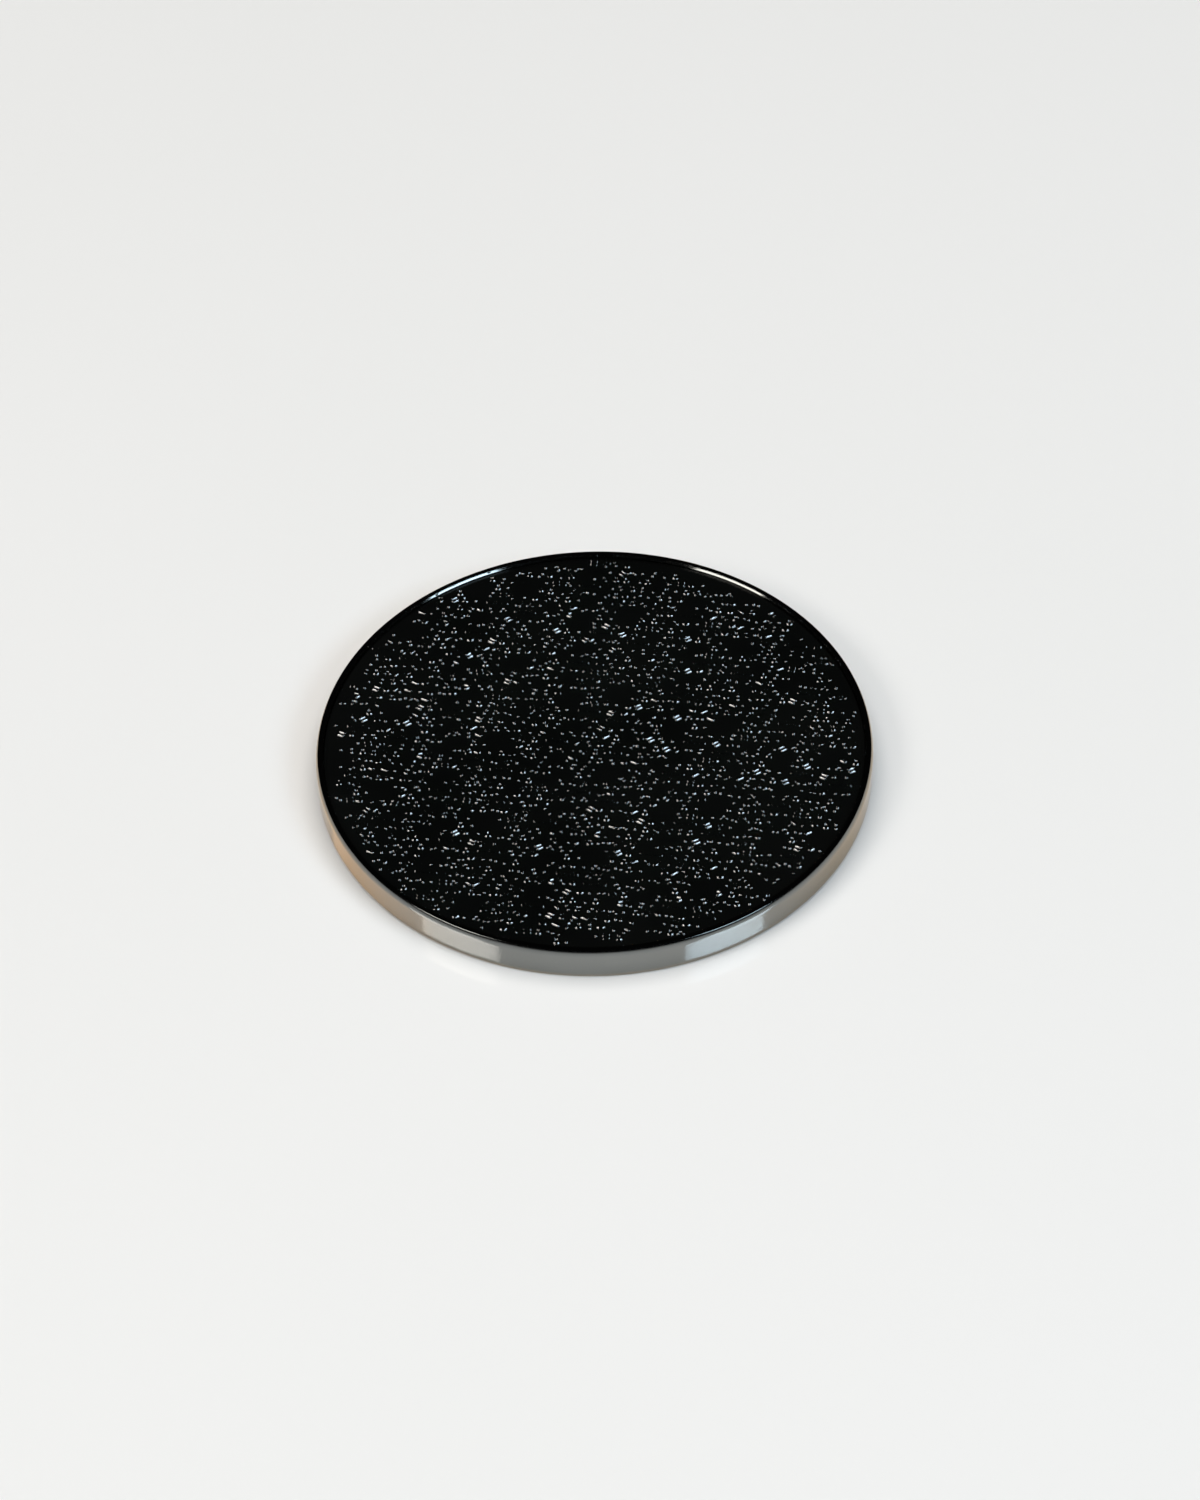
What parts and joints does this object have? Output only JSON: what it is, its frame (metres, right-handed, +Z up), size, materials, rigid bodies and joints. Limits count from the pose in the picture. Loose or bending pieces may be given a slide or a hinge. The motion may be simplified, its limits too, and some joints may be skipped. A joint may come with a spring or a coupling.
{
  "type": "dealer button",
  "caption": "Flat round metal dealer button with a guarding lip and glossy black faces that carry a fine raised relief.",
  "frame": {"origin": "centre of the ring of lip that the button rests on, which is the bottom centre of its box", "axes": "+Z up, along the disc's axis through its thickness; +X and +Y lie in the disc, with the relief's rows turned 8 degrees clockwise from +X on the upper face"},
  "size_m": [0.05, 0.05, 0.0033],
  "materials": {
    "dark_metal": "fine-turned and polished, nickel-grey",
    "black_gloss": "mirror gloss over a fine raised relief",
    "adhesive": "clear double-sided adhesive film"
  },
  "bodies": {
    "root": {"metal_body": "dark_metal", "upper_face": "black_gloss", "lower_face": "black_gloss", "upper_bond_film": "adhesive", "lower_bond_film": "adhesive"}
  },
  "joints": []
}
